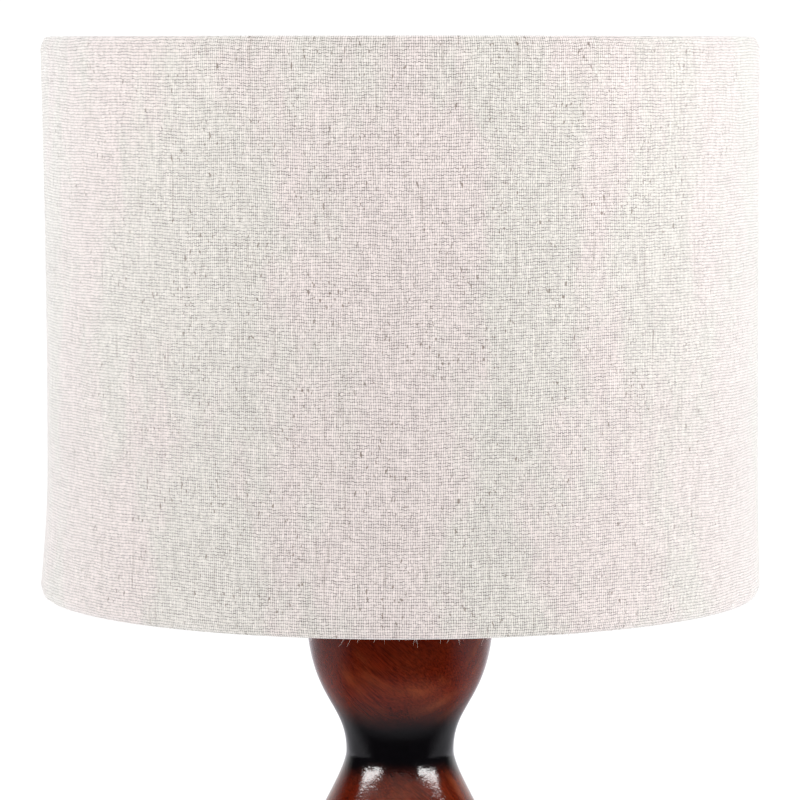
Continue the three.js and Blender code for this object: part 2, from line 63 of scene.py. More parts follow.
# camera: level with the shade's top rim, tilted down a little
eye = {"distance": 1.793, "belowTop": 0.006, "lens": 189.4, "tilt": 4.755, "farthest": 50}
cameraData = bpy.data.cameras.new("camera")
cameraData.lens = eye["lens"]
cameraData.clip_end = eye["farthest"]
camera = bpy.data.objects.new("camera", cameraData)
camera.location = (0, -eye["distance"], cadHigh.z - eye["belowTop"])
camera.rotation_euler = (math.radians(90 - eye["tilt"]), 0, 0)
scene.collection.objects.link(camera)
scene.camera = camera
scene.view_settings.view_transform = "Standard"


class Wire:  # a shader socket that can be used in sums
    def __init__(self, paint, socket):
        self.paint = paint
        self.socket = socket

    def maths(self, operation, *values):
        return self.paint.node("ShaderNodeMath", {"operation": operation}, values)

    def __add__(self, other):
        return self.maths("ADD", self, other)

    def __radd__(self, other):
        return self.maths("ADD", other, self)

    def __sub__(self, other):
        return self.maths("SUBTRACT", self, other)

    def __rsub__(self, other):
        return self.maths("SUBTRACT", other, self)

    def __mul__(self, other):
        return self.maths("MULTIPLY", self, other)

    def __rmul__(self, other):
        return self.maths("MULTIPLY", other, self)

    def __truediv__(self, other):
        return self.maths("DIVIDE", self, other)

    def __pow__(self, other):
        return self.maths("POWER", self, other)

    def __mod__(self, other):
        return self.maths("FLOORED_MODULO", self, other)

    def __abs__(self):
        return self.maths("ABSOLUTE", self)

    def floor(self):
        return self.maths("FLOOR", self)

    def fract(self):
        return self.maths("FRACT", self)

    def sine(self):
        return self.maths("SINE", self)

    def atLeast(self, low):
        return self.maths("MAXIMUM", self, low)

    def ramp(self, start, end):  # 0 at start, 1 at end, smooth between
        settings = {"interpolation_type": "SMOOTHSTEP"}
        return self.paint.node("ShaderNodeMapRange", settings, [self, start, end, 0.0, 1.0])


class Paint:  # one material and its node tree
    def __init__(self, name):
        self.material = bpy.data.materials.new(name)
        self.material.use_nodes = True
        self.tree = self.material.node_tree
        self.shader = self.tree.nodes["Principled BSDF"]

    def put(self, socket, value):
        if isinstance(value, Wire):
            self.tree.links.new(value.socket, socket)
        else:
            socket.default_value = value

    def node(self, kind, settings=None, inputs=(), output=0):
        made = self.tree.nodes.new(kind)
        for key, value in (settings or {}).items():
            setattr(made, key, value)
        for key, value in inputs.items() if isinstance(inputs, dict) else enumerate(inputs):
            self.put(made.inputs[key], value)
        return Wire(self, made.outputs[output])

    def place(self):  # the piece's own coordinates, in metres
        return self.node("ShaderNodeTexCoord", output=3)

    def cloth(self):  # flat cloth coordinates, in metres
        return self.node("ShaderNodeUVMap", {"uv_map": "cloth"})

    def split(self, vector):
        first = self.node("ShaderNodeSeparateXYZ", inputs=[vector])
        return [Wire(self, output) for output in first.socket.node.outputs]

    def join(self, x, y, z=0.0):
        return self.node("ShaderNodeCombineXYZ", inputs=[x, y, z])

    def noise(self, vector, scale=1.0, detail=2.0, roughness=0.5):
        inputs = {"Vector": vector, "Scale": scale, "Detail": detail, "Roughness": roughness}
        return self.node("ShaderNodeTexNoise", None, inputs)

    def random(self, vector):
        return self.node("ShaderNodeTexWhiteNoise", {"noise_dimensions": "3D"}, [vector])

    def mix(self, share, first, second, blend="MIX"):
        settings = {"data_type": "RGBA", "blend_type": blend}
        return self.node("ShaderNodeMix", settings, {0: share, 6: first, 7: second}, output=2)

    def bump(self, height, distance, strength=1.0):
        inputs = {"Height": height, "Distance": distance, "Strength": strength}
        return self.node("ShaderNodeBump", None, inputs)

    def done(self, **values):
        for name, value in values.items():
            self.put(self.shader.inputs[sockets[name]], value)
        return self.material


sockets = {
    "baseColor": "Base Color",
    "roughness": "Roughness",
    "metallic": "Metallic",
    "ior": "IOR",
    "normal": "Normal",
    "specular": "Specular IOR Level",
    "sheen": "Sheen Weight",
    "sheenRoughness": "Sheen Roughness",
    "coat": "Coat Weight",
    "emission": "Emission Color",
    "emissionStrength": "Emission Strength",
}


def color(red, green, blue):
    return (red, green, blue, 1.0)


def darker(tint, share):
    return color(*(part * share for part in tint[:3]))


# ---------- finishes ----------
linen = {
    "warpPitch": 0.93 * mm,  # upright threads
    "weftPitch": 1.19 * mm,  # level threads
    "wide": 0.55,  # a thread's least width, as a share of its pitch
    "slubs": 0.55,  # what thick places add to it
    "squash": 0.30,  # and what a tight crossing adds
    "dip": 0.42,  # how far a thread sinks beside a crossing; the colour is painted darker there too, as painted shade
    "tones": {"least": 0.67, "crossing": 0.12, "warp": 0.32, "weft": 0.12, "twist": 0.14},
    "thread": color(0.665, 0.619, 0.600),
    # painted shade: the dark colour between the threads
    "gap": color(0.120, 0.110, 0.104),
    "pink": color(1.018, 0.976, 0.978),
    "green": color(0.965, 0.985, 0.955),
    "nep": color(0.15, 0.11, 0.08),
    "relief": 0.20 * mm,
    "paintedTopLight": (0.99, 0.09, 0.05, 0.26),  # painted light: darker low down and lighter towards the top, as the lamps light it; tone below, gain above, and the heights between which it comes
    "patchEvery": 155 * mm,  # pink areas come back about this far apart
    "patchAt": 481 * mm,  # and one of them is this far from the seam
}


def linenPaint():
    paint = Paint("linen")
    flat = paint.cloth()
    along, up, _ = paint.split(flat)

    def stray(scale, most):  # threads wander from their line
        return (paint.noise(flat, scale) - 0.5) * most

    u = along / linen["warpPitch"] + stray(45.0, 1.6) + stray(420.0, 0.7)
    v = up / linen["weftPitch"] + stray(30.0, 2.2) + stray(380.0, 0.8)
    column, row = u.floor(), v.floor()
    across, acrossRow = abs(u.fract() - 0.5) * 2.0, abs(v.fract() - 0.5) * 2.0
    weftOver = (column + row) % 2.0

    # each thread gets thicker and thinner along its length
    warpSlub = paint.noise(paint.join(column * 3.71, up * 110.0), 1.0, 2.0, 0.7)
    weftSlub = paint.noise(paint.join(along * 95.0, row * 5.13, 9.0), 1.0, 2.0, 0.7)
    crossing = paint.random(paint.join(column, row, 3.0))
    packed = paint.random(paint.join(row, column, 8.0))
    warpWide = linen["wide"] + linen["slubs"] * warpSlub + linen["squash"] * packed
    weftWide = linen["wide"] + linen["slubs"] * weftSlub + linen["squash"] * crossing
    warpHigh = (1.0 - (across / warpWide) ** 2.0).atLeast(0.0) * (1.0 - linen["dip"] * acrossRow ** 2.0)
    weftHigh = (1.0 - (acrossRow / weftWide) ** 2.0).atLeast(0.0) * (1.0 - linen["dip"] * across ** 2.0)
    high = warpHigh + (weftHigh - warpHigh) * weftOver
    twist = paint.noise(paint.join(along * 2600.0, up * 2600.0, 1.0), 1.0, 1.0)  # the fibres in a thread

    # every crossing differs a little in tone, and so does every thread
    warpTone = paint.noise(paint.join(column * 7.7, up * 40.0, 4.0), 1.0, 2.0)
    weftTone = paint.noise(paint.join(along * 40.0, row * 7.7, 5.0), 1.0, 2.0)
    tones = linen["tones"]
    tone = tones["least"] + tones["crossing"] * crossing + tones["warp"] * warpTone
    tone = tone + tones["weft"] * weftTone + tones["twist"] * twist
    # painted light: the cloth is painted lighter towards the top and darker towards the lower hem
    shadedBottomTone, paintedLightGain, paintedLightFrom, paintedLightTo = linen["paintedTopLight"]
    tone = tone * (shadedBottomTone + paintedLightGain * up.ramp(paintedLightFrom, paintedLightTo))
    # painted shade: the cloth is painted dark in the gaps between threads and where a thread sinks
    cloth = paint.mix(high.ramp(0.0, 0.62), linen["gap"], linen["thread"])
    cloth = paint.mix(1.0, cloth, paint.join(tone, tone, tone), "MULTIPLY")

    # pink and green-grey areas a few centimetres wide
    turns = (along - linen["patchAt"]) / linen["patchEvery"] - 0.25
    dyed = (turns * 2.0 * math.pi).sine()
    cloudy = paint.noise(paint.join(along * 22.0, up * 9.0, 1.0), 1.0, 4.0, 0.6)
    patch = (cloudy + 0.06 * dyed).ramp(0.42, 0.58)
    cloth = paint.mix(1.0, cloth, paint.mix(patch, linen["pink"], linen["green"]), "MULTIPLY")

    # neps: short dark fibres caught in the yarn
    speck = paint.noise(paint.join(along * 800.0, up * 330.0, 7.0), 1.0, 1.0).ramp(0.655, 0.70)
    where = paint.noise(paint.join(along * 70.0, up * 50.0, 2.0), 1.0, 1.0).ramp(0.40, 0.62)
    streak = paint.noise(paint.join(along * 620.0, up * 34.0, 6.0), 1.0, 1.0).ramp(0.64, 0.76)
    cloth = paint.mix(speck * where * 0.75 + streak * 0.25, cloth, linen["nep"])
    return paint.done(
        baseColor=cloth,
        roughness=0.92,
        sheen=0.8,
        sheenRoughness=0.5,
        specular=0.2,
        normal=paint.bump(high + twist * 0.3, linen["relief"], 0.8),
    )


# black shading sprayed on at the waists: (from, full from, full to, to), in millimetres above the table
woodFinish = {
    "dark": color(0.036, 0.0026, 0.0009),
    "paintedHeadShadow": (252, 278, 0.45),  # painted shadow: the head is painted darker towards the top, where the shade's shadow falls: from, to, how much
    "red": color(0.135, 0.0115, 0.0026),
    "figure": color(0.200, 0.041, 0.012),
    "black": color(0.0030, 0.0026, 0.0034),
    "bands": [(211, 221, 235, 254), (31, 40, 62, 84), (305, 314, 330, 331), (0, 1, 4, 11)],
    "grainLean": 48,  # degrees from upright
    "pith": (190, 62),  # centre of the growth rings, in millimetres
    "ringWidth": 7.0,
    "ringStray": (34.0, 12.0),  # how far the rings bend out of round
    "bandStray": (9.0, 3.5),  # how far a sprayed edge wanders, and its mist, in millimetres
    "relief": 0.16 * mm,
}


def woodPaint():
    paint = Paint("lacqueredWood")
    here = paint.place()
    x, y, z = paint.split(here)
    x, y, z = x / mm, y / mm, z / mm

    # the blank was sawn askew, so its grain runs slanting over the turned surface
    lean = math.radians(woodFinish["grainLean"])
    over = x * math.cos(lean) + z * math.sin(lean)
    down = z * math.cos(lean) - x * math.sin(lean)
    bend = paint.noise(paint.join(over * 0.03, y * 0.03, down * 0.012), 1.0, 3.0)
    px = over - woodFinish["pith"][0] + bend * woodFinish["ringStray"][0]
    py = y - woodFinish["pith"][1] + bend * woodFinish["ringStray"][1]
    ring = ((px * px + py * py) ** 0.5) / woodFinish["ringWidth"]
    arch = ((ring * 2.0 * math.pi).sine() * 0.5 + 0.5) ** 1.4
    fibre = paint.noise(paint.join(over * 1.6, y * 1.6, down * 0.10), 1.0, 4.0, 0.65)
    pore = paint.noise(paint.join(over * 3.2, y * 3.2, down * 0.30), 1.0, 2.0).ramp(0.60, 0.70)
    cloudy = paint.noise(paint.join(over * 0.060, y * 0.045, down * 0.026 + 3.0), 1.0, 3.0, 0.6)
    cloudy = cloudy.ramp(0.42, 0.66)

    stained = paint.mix(fibre.ramp(0.30, 0.70), woodFinish["dark"], woodFinish["red"])
    light = (0.12 + 0.88 * cloudy) * (0.30 + 0.70 * arch) * (0.45 + 0.55 * fibre)
    stained = paint.mix(light, stained, woodFinish["figure"])
    stained = paint.mix(pore * 0.5, stained, woodFinish["dark"])

    # painted shadow of the shade over the upper part of the head
    shadowFrom, shadowTo, shadowMost = woodFinish["paintedHeadShadow"]
    stained = paint.mix(z.ramp(shadowFrom, shadowTo) * shadowMost, stained, woodFinish["dark"])

    # the sprayed edge wanders, and breaks up into fine mist
    wander = (paint.noise(here, 38.0, 3.0) - 0.5) * woodFinish["bandStray"][0]
    mist = (paint.noise(here, 1400.0, 1.0) - 0.5) * woodFinish["bandStray"][1]
    black = None
    for start, full, fullEnd, end in woodFinish["bands"]:
        rise = (z + wander + mist).ramp(start, full)
        fall = 1.0 - (z + wander * 0.5 + mist).ramp(fullEnd, end)
        black = rise * fall if black is None else black.atLeast(rise * fall)
    surface = paint.mix(black, stained, woodFinish["black"])

    # brushed lacquer: slow waves, a faint orange peel and turning lines
    wave = paint.noise(here, 70.0, 2.0)
    peel = paint.noise(here, 420.0, 2.0)
    speckle = paint.noise(here, 1300.0, 2.0)
    lines = paint.noise(paint.join(x * 0.03, y * 0.03, z * 2.2), 1.0, 2.0)
    height = wave * 1.0 + peel * 0.60 + speckle * 0.48 + lines * 0.05
    return paint.done(
        baseColor=surface,
        roughness=0.07 + 0.07 * paint.noise(here, 220.0, 2.0),
        ior=1.5,
        normal=paint.bump(height, woodFinish["relief"], 0.7),
    )


def metalPaint(name, tint, roughness, wear=0.12, grain=0.02):
    paint = Paint(name)
    here = paint.place()
    smudge = paint.noise(here, 140.0, 4.0, 0.6)
    fine = paint.noise(here, 2500.0, 2.0)
    return paint.done(
        baseColor=paint.mix(smudge.ramp(0.40, 0.80) * 0.45, tint, darker(tint, 0.62)),
        metallic=1.0,
        roughness=roughness + wear * smudge + 0.04 * fine,
        normal=paint.bump(fine + smudge, grain * mm, 0.5),
    )


def plainPaint(name, tint, roughness, mottle=0.10, grain=0.02, scale=300.0, **more):
    paint = Paint(name)
    here = paint.place()
    cloudy = paint.noise(here, scale, 4.0, 0.6)
    fine = paint.noise(here, scale * 6.0, 2.0)
    return paint.done(
        baseColor=paint.mix(cloudy.ramp(0.3, 0.8), tint, darker(tint, 1.0 - 2.5 * mottle)),
        roughness=roughness + 0.15 * (cloudy - 0.5),
        normal=paint.bump(fine + cloudy, grain * mm, 0.6),
        **more,
    )


feltFinish = {
    "deep": color(0.012, 0.024, 0.016),
    "light": color(0.035, 0.060, 0.042),
    "hair": color(0.10, 0.13, 0.10),
    "relief": 0.5 * mm,
}


def feltPaint():
    paint = Paint("greenFelt")
    here = paint.place()
    clump = paint.noise(here, 500.0, 4.0, 0.7)
    hair = paint.noise(here, 3200.0, 2.0, 0.8)
    wool = paint.mix(clump.ramp(0.3, 0.7), feltFinish["deep"], feltFinish["light"])
    wool = paint.mix(hair.ramp(0.55, 0.8) * 0.5, wool, feltFinish["hair"])
    return paint.done(
        baseColor=wool,
        roughness=0.96,
        sheen=0.6,
        specular=0.1,
        normal=paint.bump(clump + hair, feltFinish["relief"], 0.9),
    )


finishes = {
    "linen": linenPaint(),
    "wood": woodPaint(),
    "felt": feltPaint(),
    "brass": metalPaint("lampBrass", color(0.63, 0.42, 0.155), 0.13, wear=0.10),
    "contactBrass": metalPaint("contactBrass", color(0.70, 0.44, 0.14), 0.24),
    "zinc": metalPaint("zincSteel", color(0.52, 0.51, 0.48), 0.34, grain=0.04),
    "capMetal": metalPaint("nickelCap", color(0.62, 0.61, 0.58), 0.22),
    "wire": plainPaint("coatedWire", color(0.80, 0.79, 0.75), 0.35, mottle=0.03, scale=200.0),
    "fibre": plainPaint("looseFibre", color(0.78, 0.70, 0.66), 0.8, mottle=0.08, scale=300.0),
    "liner": plainPaint("linerSheet", color(0.86, 0.84, 0.79), 0.50, mottle=0.02, scale=60.0),
    "ceramic": plainPaint("glazedCeramic", color(0.82, 0.78, 0.68), 0.18, mottle=0.03, scale=120.0),
    "knob": plainPaint("blackPhenolic", color(0.016, 0.012, 0.010), 0.26, scale=400.0),
    "blackPlastic": plainPaint("blackPlastic", color(0.018, 0.017, 0.016), 0.42, scale=900.0, grain=0.05),
    "bulbPlastic": plainPaint("bulbPlastic", color(0.86, 0.86, 0.84), 0.32, mottle=0.01, scale=100.0),
    "opal": plainPaint(
        "opalGlobe", color(0.90, 0.885, 0.85), 0.22, mottle=0.01, grain=0.004, scale=50.0, coat=0.4
    ),
}
print("finishes made:", len(finishes))


# ---------- turning ----------
def span(node):  # bottom, top and radius of a CAD node, in millimetres
    low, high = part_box(node)
    return low.z / mm, high.z / mm, (high.y - low.y) / 2 / mm


def rounded(corners, steps=4, closed=False):  # corners are (radius, height, fillet)
    points = []
    last = len(corners) - 1
    for i, (radius, height, fillet) in enumerate(corners):
        here = Vector((radius, height))
        if fillet == 0 or (not closed and i in (0, last)):
            points.append(here)
            continue
        before = (Vector(corners[i - 1][:2]) - here).normalized()
        after = (Vector(corners[(i + 1) % len(corners)][:2]) - here).normalized()
        half = before.angle(after) / 2
        centre = here + (before + after).normalized() * (fillet / math.sin(half))
        start = here + before * (fillet / math.tan(half)) - centre
        end = here + after * (fillet / math.tan(half)) - centre
        for k in range(steps + 1):
            points.append(centre + start.lerp(end, k / steps).normalized() * fillet)
    return points


def curveTo(start, startHandle, endHandle, end, steps):  # cubic curve without its first point
    knots = [Vector((*p, 0)) for p in (start, startHandle, endHandle, end)]
    return [p.to_2d() for p in interpolate_bezier(*knots, steps + 1)[1:]]


def threadPoints(radius, bottom, top, pitch, depth):  # rounded thread as rings
    steps = 8
    count = int((top - bottom) / pitch) * steps
    points = []
    for k in range(count + 1):
        swing = (1 + math.cos(2 * math.pi * k / steps)) / 2
        points.append(Vector((radius - depth * swing, bottom + pitch * k / steps)))
    return points


def turn(points, steps=96, closed=False):  # spins an outline, in millimetres, round Z
    bm = bmesh.new()
    verts = [bm.verts.new((p[0] * mm, 0, p[1] * mm)) for p in points]
    pairs = list(zip(verts, verts[1:])) + ([(verts[-1], verts[0])] if closed else [])
    edges = [bm.edges.new(pair) for pair in pairs]
    bmesh.ops.spin(
        bm,
        geom=verts + edges,
        cent=(0, 0, 0),
        axis=(0, 0, 1),
        angle=2 * math.pi,
        steps=steps,
        use_merge=True,
    )
    bmesh.ops.remove_doubles(bm, verts=bm.verts, dist=1e-6)
    bmesh.ops.recalc_face_normals(bm, faces=bm.faces)
    if bm.calc_volume(signed=True) < 0:  # an open outline can come out facing inwards
        bmesh.ops.reverse_faces(bm, faces=bm.faces)
    return bm


def rib(bm, count, depth, minRadius):  # presses grip ribs into a turned rim
    for v in bm.verts:
        radius = math.hypot(v.co.x, v.co.y)
        if radius > minRadius * mm:
            wave = max(0.0, math.cos(count * math.atan2(v.co.y, v.co.x))) ** 0.5
            v.co.xy *= 1 - depth * mm * wave / radius


def lay(bm, axis, height):  # turns a piece made round Z to lie along X or Y
    turnAxis, angle = {"x": ("Y", 90), "y": ("X", -90)}[axis]
    bmesh.ops.rotate(bm, verts=bm.verts, matrix=Matrix.Rotation(math.radians(angle), 3, turnAxis))
    bmesh.ops.translate(bm, verts=bm.verts, vec=(0, 0, height * mm))


def addPiece(name, bm, finish, body, stands=(), sharp=40):
    mesh = bpy.data.meshes.new(name)
    bm.to_mesh(mesh)
    bm.free()
    mesh.polygons.foreach_set("use_smooth", [True] * len(mesh.polygons))
    mesh.set_sharp_from_angle(angle=math.radians(sharp))
    piece = bpy.data.objects.new(name, mesh)
    scene.collection.objects.link(piece)
    mesh.materials.append(finishes[finish])
    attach(piece, body)
    if stands:
        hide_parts(*stands)
    return piece


# ---------- wood ----------
rodBore = 5.4  # the hole for the threaded rod, in every piece that it runs through

# each place: radius, millimetres above the lower end, length of the curve's handles below and above it
bodyShape = {
    "bead": (31, 4.5),  # centre radius, radius
    "lowerWaist": (27, 21.7, 6, 26),
    "belly": (54, 107.7, 44, 33),
    "waist": (23.1, 192.0, 13, 22),
    "head": (40.3, 255.7, 42, 17),
    "collar": (22, 283.7, 10, 0),
    "collarRound": 2.0,
    "steps": {"bead": 16, "lowerWaist": 14, "belly": 34, "waist": 34, "head": 34, "collar": 22},
}


def bodyOutline():
    bottom, top, _ = span("turned_body")
    beadX, beadR = bodyShape["bead"]
    beadTop = bottom + 2 * beadR
    steps = bodyShape["steps"]
    points = [Vector((rodBore, bottom))]
    for k in range(steps["bead"] + 1):
        angle = math.pi * (k / steps["bead"] - 0.5)
        points.append(Vector((beadX + beadR * math.cos(angle), bottom + beadR * (1 + math.sin(angle)))))
    here = (beadX, beadTop)
    handle = (bodyShape["lowerWaist"][0] + 1, beadTop + 2)
    for place in ("lowerWaist", "belly", "waist", "head", "collar"):
        radius, rise, below, above = bodyShape[place]
        height = bottom + rise
        points += curveTo(here, handle, (radius, height - below), (radius, height), steps[place])
        here = (radius, height)
        handle = (radius, height + above)
    corners = [(*here, 0), (here[0], top, bodyShape["collarRound"]), (rodBore, top, 0)]
    return points + rounded(corners, 6)[1:]


woodTurn = turn(bodyOutline(), 160, True)
addPiece("woodBody", woodTurn, "wood", "base", ["turned_body"], 60)

footShape = {
    "rim": 13,
    "rimRound": 2.2,
    "under": 1.2,  # rounding of the edge that stands on the felt
    "step": 4.5,
    "neck": 36,
    "recess": 20,
    "recessDepth": 12,
}


def footOutline():
    bottom, top, radius = span("foot")
    rimTop = bottom + footShape["rim"]
    stepR = radius - footShape["step"]
    neck = footShape["neck"]
    recess = footShape["recess"]
    corners = [
        (recess, bottom, 0),
        (radius, bottom, footShape["under"]),
        (radius, rimTop, footShape["rimRound"]),
        (stepR, rimTop, 0),
    ]
    points = rounded(corners, 6)
    points += curveTo((stepR, rimTop), (stepR - 4, rimTop + 11), (neck + 2, rimTop + 5), (neck, top - 1), 24)
    ceiling = bottom + footShape["recessDepth"]
    inside = [(neck - 1, top), (rodBore, top), (rodBore, ceiling), (recess, ceiling)]
    return points + [Vector(p) for p in inside]


woodFoot = addPiece("woodFoot", turn(footOutline(), 160, True), "wood", "base", ["foot"], 50)

# the cord's hole through the back of the foot
glandBottom, glandTop, _ = span("cord_gland")
glandAxis = (glandBottom + glandTop) / 2
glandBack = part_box("cord_gland")[1].y / mm
glandShape = {
    "bore": 3.3,
    "sleeve": 4.6,
    "flange": 6.0,
    "flangeThickness": 2.0,
    "length": 14,
    "hole": 4.9,  # radius of the hole in the foot
    "holeFrom": 15,  # and where it runs, in millimetres behind the middle
    "holeTo": 75,
}


def boreFoot():
    radius = glandShape["hole"] * mm
    middle = (glandShape["holeFrom"] + glandShape["holeTo"]) / 2
    level = Matrix.Rotation(math.radians(90), 4, "X")
    bm = bmesh.new()
    bmesh.ops.create_cone(
        bm,
        cap_ends=True,
        segments=32,
        radius1=radius,
        radius2=radius,
        depth=(glandShape["holeTo"] - glandShape["holeFrom"]) * mm,
        matrix=Matrix.Translation((0, middle * mm, glandAxis * mm)) @ level,
    )
    mesh = bpy.data.meshes.new("drill")
    bm.to_mesh(mesh)
    bm.free()
    drill = bpy.data.objects.new("drill", mesh)
    scene.collection.objects.link(drill)
    cutter = woodFoot.modifiers.new("cordHole", "BOOLEAN")
    cutter.object = drill
    cutter.solver = "EXACT"
    evaluated = woodFoot.evaluated_get(bpy.context.evaluated_depsgraph_get())
    woodFoot.data = bpy.data.meshes.new_from_object(evaluated)
    woodFoot.modifiers.clear()
    bpy.data.objects.remove(drill)


boreFoot()


def glandPiece():
    seat = glandBack - glandShape["flangeThickness"]
    bore, sleeve, flange = glandShape["bore"], glandShape["sleeve"], glandShape["flange"]
    corners = [
        (bore, seat - glandShape["length"], 0.3),
        (sleeve, seat - glandShape["length"], 0.5),
        (sleeve, seat, 0.1),
        (flange, seat, 0.3),
        (flange, glandBack, 0.9),
        (bore, glandBack, 0.8),
    ]
    bm = turn(rounded(corners, 5, True), 64, True)
    lay(bm, "y", glandAxis)
    addPiece("cordGland", bm, "blackPlastic", "base", ["cord_gland"])


glandPiece()


def feltPiece():
    bottom, top, radius = span("felt_pad")
    corners = [(0, bottom, 0), (radius, bottom, 0.5), (radius, top, 0.5), (0, top, 0)]
    bm = turn(rounded(corners, 4), 160)
    felt = addPiece("feltPad", bm, "felt", "base", ["felt_pad"], 60)
    across = 2 * radius * mm
    math.pi * across**2 / 4


feltPiece()
print("wood, gland and felt made")


# ---------- lampholder ----------
def ringPiece(name, node, corners, finish, body):
    addPiece(name, turn(rounded(corners, 4, True), 96, True), finish, body, [node])


def vaseCapPiece():
    bottom, top, radius = span("vase_cap")
    thick = top - bottom
    corners = [
        (rodBore, bottom, 0.2),
        (radius, bottom, 0.4),
        (radius, bottom + 0.4 * thick, 0.5),
        (0.7 * radius, bottom + 0.9 * thick, 3.0),
        (0.5 * radius, top, 2.0),
        (rodBore, top, 0.3),
    ]
    ringPiece("vaseCap", "vase_cap", corners, "brass", "base")


bowlShape = {"neck": 7.8, "neckHeight": 6, "wall": 1.0, "curl": 6.6}


def holderCapPiece():
    bottom, top, radius = span("holder_cap")
    bowlBottom = bottom + bowlShape["neckHeight"]
    neck, wall, curl = bowlShape["neck"], bowlShape["wall"], bowlShape["curl"]
    corners = [
        (rodBore, bottom, 0.2),
        (neck, bottom, 0.5),
        (neck, bowlBottom, 0.6),
        (radius, bowlBottom, curl),
        (radius, top, 0.3),
        (radius - wall, top, 0.3),
        (radius - wall, bowlBottom + wall, curl - wall),
        (rodBore, bowlBottom + wall, 0.2),
    ]
    ringPiece("holderBowl", "holder_cap", corners, "brass", "base")


shellShape = {
    "outer": 19.7,
    "inner": 17.9,
    "flangeTop": 13.5,
    "flangeThickness": 2,
    "pitch": 2.5,  # of the thread for the ring nut
    "depth": 1.2,
}


def holderShellPiece():
    bottom, top, flange = span("holder_shell")
    outer, inner = shellShape["outer"], shellShape["inner"]
    flangeTop = bottom + shellShape["flangeTop"]
    flangeBottom = flangeTop - shellShape["flangeThickness"]
    root = outer - shellShape["depth"]
    lower = [
        (inner, bottom, 0.2),
        (outer, bottom, 0.3),
        (outer, flangeBottom, 0.2),
        (flange, flangeBottom, 0.6),
        (flange, flangeTop, 0.6),
        (root, flangeTop, 0.2),
        (root, flangeTop + 1, 0),
    ]
    upper = [(root, top - 1.4, 0), (outer - 0.4, top, 0.6), (inner, top, 0.4), (inner, bottom + 1, 0)]
    outline = rounded(lower)
    outline += threadPoints(outer, flangeTop + 1.2, top - 1.6, shellShape["pitch"], shellShape["depth"])
    outline += rounded(upper)
    addPiece("holderShell", turn(outline, 96, True), "brass", "base", ["holder_shell"])


def lyingSpan(node):  # start and end along X, radius and axis height of a piece that lies along X
    low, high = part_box(node)
    return low.x / mm, high.x / mm, (high.y - low.y) / 2 / mm, (low.z + high.z) / 2 / mm


def stemPiece():
    start, end, radius, axis = lyingSpan("switch_stem")
    corners = [(0, start, 0), (radius, start, 0.3), (radius, end, 0.3), (0, end, 0)]
    bm = turn(rounded(corners), 48)
    lay(bm, "x", axis)
    addPiece("switchStem", bm, "brass", "switch", ["switch_stem"])


knobShape = {"hole": 2.5, "holeDepth": 7.3, "ribs": 18, "ribDepth": 0.55}


def knobPiece():
    start, end, radius, axis = lyingSpan("switch_knob")
    hole = knobShape["hole"]
    corners = [
        (hole, start, 0.2),
        (radius - 2, start, 0.4),
        (radius - 1.6, start + 2.2, 0.5),
        (radius, start + 3.2, 0.5),
        (radius, end - 0.8, 0.8),
        (radius - 1.4, end, 0.8),
        (0, end - 0.35, 0),
    ]
    deep = start + knobShape["holeDepth"]
    bm = turn(rounded(corners) + [Vector((0, deep)), Vector((hole, deep))], 144)
    bmesh.ops.bridge_loops(bm, edges=[e for e in bm.edges if e.is_boundary])
    bmesh.ops.recalc_face_normals(bm, faces=bm.faces)
    rib(bm, knobShape["ribs"], knobShape["ribDepth"], radius - 0.9)
    lay(bm, "x", axis)
    addPiece("switchKnob", bm, "knob", "switch", ["switch_knob"], 50)


nutShape = {"inner": 20.2, "chamfer": 1.6, "ribs": 24, "ribDepth": 0.7}


def ringNutPiece():
    bottom, top, radius = span("ring_nut")
    inner, chamfer = nutShape["inner"], nutShape["chamfer"]
    corners = [
        (inner, bottom, 0.3),
        (radius, bottom, 0.6),
        (radius, top - chamfer, 0.5),
        (radius - chamfer, top, 0.6),
        (inner, top, 0.4),
    ]
    bm = turn(rounded(corners, 4, True), 192, True)
    rib(bm, nutShape["ribs"], nutShape["ribDepth"], radius - 0.5)
    addPiece("ringNut", bm, "brass", "ring_nut", ["ring_nut"], 50)


vaseCapPiece()
holderCapPiece()
holderShellPiece()
stemPiece()
knobPiece()
ringNutPiece()
print("lampholder and switch made")


# ---------- shade carrier ----------
carrier = {
    "wire": 1.9,
    "bore": 20.5,  # of the fitter ring, round the lampholder
    "flat": 36,  # level part of an arm
    "bend": 8,
    "welds": ((3.2, 2.6, 1.9), (3.0, 2.5, 2.6)),  # size of an arm's weld beads, at the fitter and the rim
}


def fitterRingPiece():
    bottom, top, radius = span("fitter_ring")
    bore = carrier["bore"]
    corners = [(bore, bottom, 0.4), (radius, bottom, 0.7), (radius, top, 0.7), (bore, top, 0.4)]
    ringPiece("fitterRing", "fitter_ring", corners, "wire", "shade")


def tubes(lines, radius, name, roundness=4, taper=False):  # round wires along lines of points, in one mesh
    curve = bpy.data.curves.new(name, "CURVE")
    curve.dimensions = "3D"
    curve.bevel_depth = radius
    curve.bevel_resolution = roundness
    curve.use_fill_caps = True
    for points in lines:
        line = curve.splines.new("POLY")
        line.points.add(len(points) - 1)
        for i, (point, place) in enumerate(zip(line.points, points)):
            point.co = (*place, 1)
            point.radius = 1.0 - 0.8 * i / (len(points) - 1) if taper else 1.0
    holder = bpy.data.objects.new(name, curve)
    scene.collection.objects.link(holder)
    bm = bmesh.new()
    mesh = bpy.data.meshes.new_from_object(holder.evaluated_get(bpy.context.evaluated_depsgraph_get()))
    bm.from_mesh(mesh)
    bpy.data.objects.remove(holder)
    bmesh.ops.remove_doubles(bm, verts=bm.verts, dist=1e-6)
    return bm


def ringLine(node):  # radius and height of a wire ring's middle, in millimetres
    bottom, top, radius = span(node)
    return radius - carrier["wire"], (bottom + top) / 2


